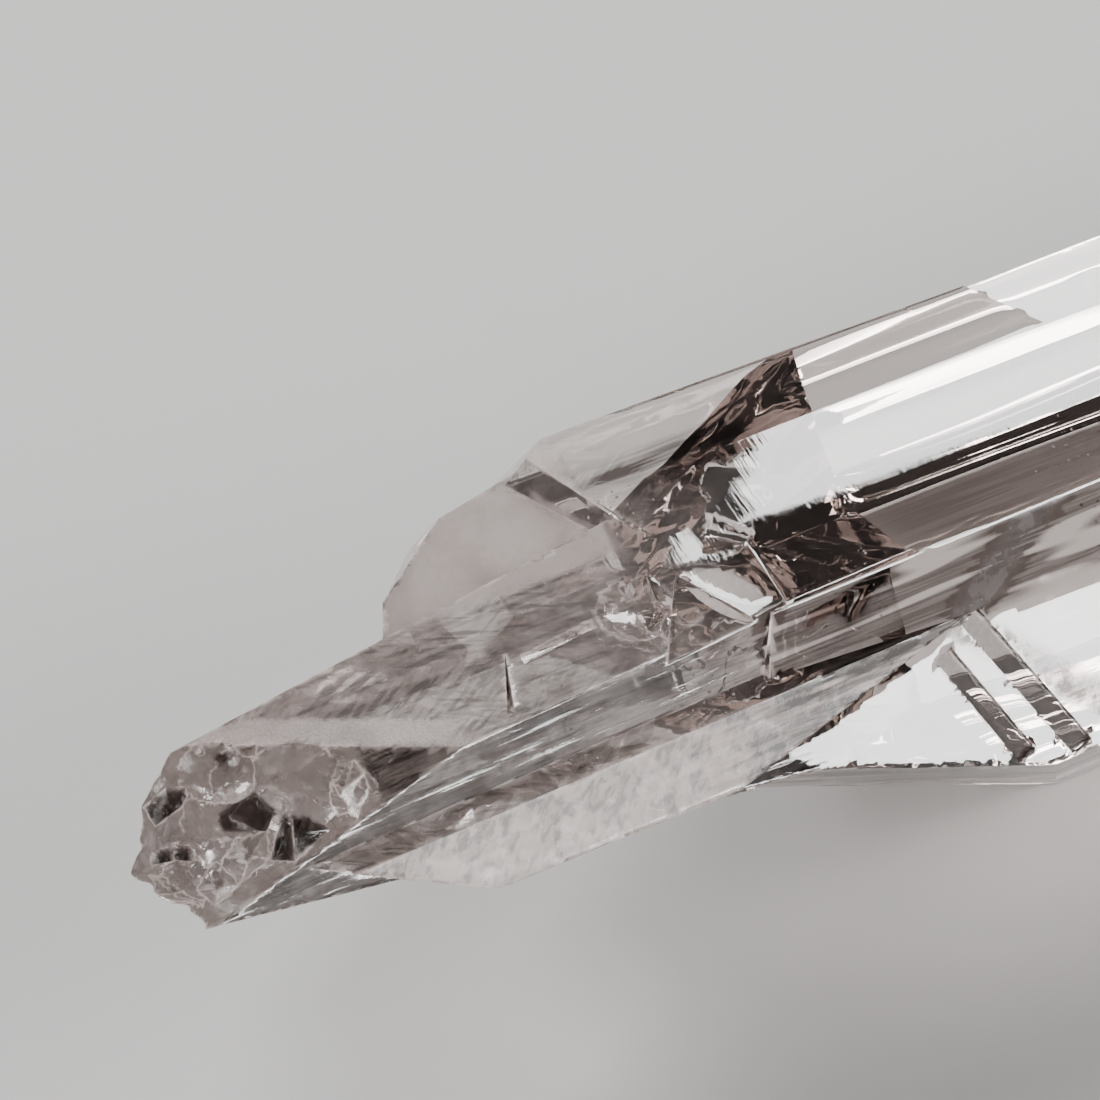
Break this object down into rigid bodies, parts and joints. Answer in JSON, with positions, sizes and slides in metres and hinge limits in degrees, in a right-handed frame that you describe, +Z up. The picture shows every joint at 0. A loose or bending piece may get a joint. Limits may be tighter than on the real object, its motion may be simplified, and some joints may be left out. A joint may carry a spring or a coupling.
{
  "type": "lemurian quartz point",
  "caption": "Clear quartz crystal: a long hexagonal prism with a rhombohedral tip, ladder-like growth steps and a narrow, chipped base end, lying on a prism face.",
  "frame": {"origin": "under the middle of the crystal's box, on the surface it lies on", "axes": "+X along the crystal towards its tip, +Z up, +Y towards the stepped plate behind the stem"},
  "size_m": [0.1234, 0.0292, 0.0251],
  "materials": {
    "quartz": "glossy crystal faces, frosted breaks"
  },
  "bodies": {
    "root": {"quartz_point": "quartz"}
  },
  "joints": []
}
